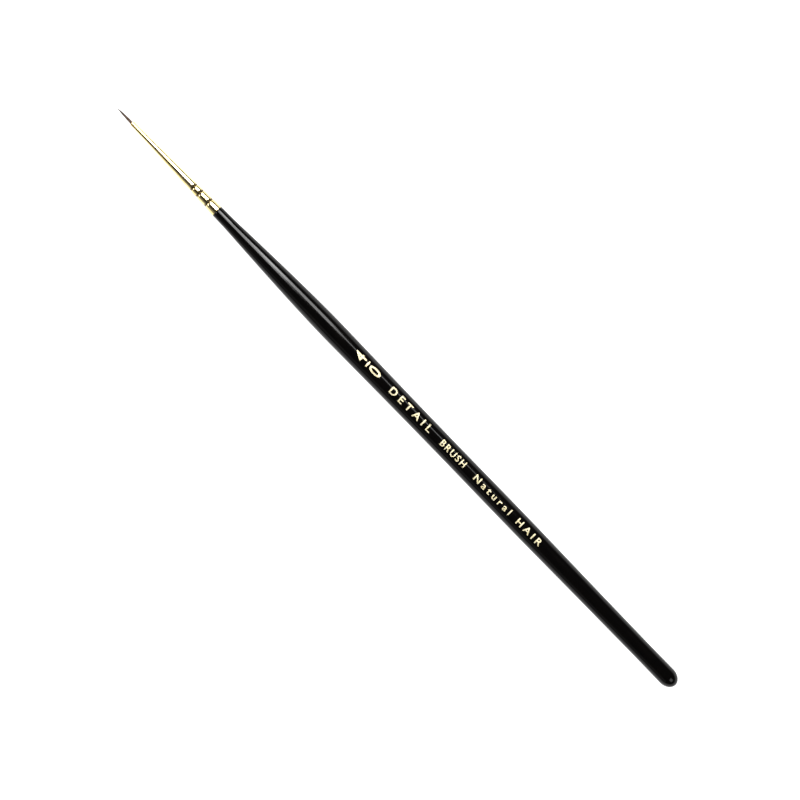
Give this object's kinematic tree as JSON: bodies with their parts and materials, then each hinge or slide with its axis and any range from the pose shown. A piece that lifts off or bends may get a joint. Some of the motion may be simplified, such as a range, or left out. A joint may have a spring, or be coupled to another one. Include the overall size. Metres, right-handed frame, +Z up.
{
  "type": "fine detail brush",
  "caption": "Slim round detail brush lying flat: black lacquered wooden handle, crimped gilt brass ferrule and a short pointed tuft of sable hairs that bends and springs back.",
  "frame": {"origin": "on the surface that the brush lies on, under the middle of its length", "axes": "+X along the brush from the hair tip to the butt, +Z up, +Y across the brush"},
  "size_m": [0.172, 0.0048, 0.0049],
  "materials": {
    "black_lacquer": "gloss black lacquer on turned birch",
    "gilt_brass": "gold-plated seamless brass, polished",
    "cement": "set cement, pale amber",
    "resin": "clear amber setting resin",
    "thread": "twisted off-white binding thread",
    "sable_hair": "reddish-brown sable hair with a natural sheen, darker towards the tips"
  },
  "bodies": {
    "brush": {"handle": "black_lacquer", "handle_cement": "cement", "ferrule": "gilt_brass", "setting_resin": "resin", "binding_thread": "thread", "hair_roots": "sable_hair"},
    "tuft": {"hair_middle": "sable_hair", "hair_inner_01": "sable_hair", "hair_inner_02": "sable_hair", "hair_inner_03": "sable_hair", "hair_inner_04": "sable_hair", "hair_inner_05": "sable_hair", "hair_inner_06": "sable_hair", "hair_second_01": "sable_hair", "hair_second_02": "sable_hair", "hair_second_03": "sable_hair", "hair_second_04": "sable_hair", "hair_second_05": "sable_hair", "hair_second_06": "sable_hair", "hair_second_07": "sable_hair", "hair_second_08": "sable_hair", "hair_second_09": "sable_hair", "hair_second_10": "sable_hair", "hair_second_11": "sable_hair", "hair_second_12": "sable_hair", "hair_outer_01": "sable_hair", "hair_outer_02": "sable_hair", "hair_outer_03": "sable_hair", "hair_outer_04": "sable_hair", "hair_outer_05": "sable_hair", "hair_outer_06": "sable_hair", "hair_outer_07": "sable_hair", "hair_outer_08": "sable_hair", "hair_outer_09": "sable_hair", "hair_outer_10": "sable_hair", "hair_outer_11": "sable_hair", "hair_outer_12": "sable_hair", "hair_outer_13": "sable_hair", "hair_outer_14": "sable_hair", "hair_outer_15": "sable_hair", "hair_outer_16": "sable_hair", "hair_outer_17": "sable_hair", "hair_outer_18": "sable_hair"}
  },
  "joints": [
    {"name": "tuft_bend", "type": "hinge", "parent": "brush", "child": "tuft", "pos_m": [-0.0813, 0, 0.00243], "axis": [0, 0, 1], "range_deg": [-45, 45], "stiffness_Nm_per_rad": 0.00006, "deforming": ["hair_middle", "hair_inner_01", "hair_inner_02", "hair_inner_03", "hair_inner_04", "hair_inner_05", "hair_inner_06", "hair_second_01", "hair_second_02", "hair_second_03", "hair_second_04", "hair_second_05", "hair_second_06", "hair_second_07", "hair_second_08", "hair_second_09", "hair_second_10", "hair_second_11", "hair_second_12", "hair_outer_01", "hair_outer_02", "hair_outer_03", "hair_outer_04", "hair_outer_05", "hair_outer_06", "hair_outer_07", "hair_outer_08", "hair_outer_09", "hair_outer_10", "hair_outer_11", "hair_outer_12", "hair_outer_13", "hair_outer_14", "hair_outer_15", "hair_outer_16", "hair_outer_17", "hair_outer_18"]}
  ]
}
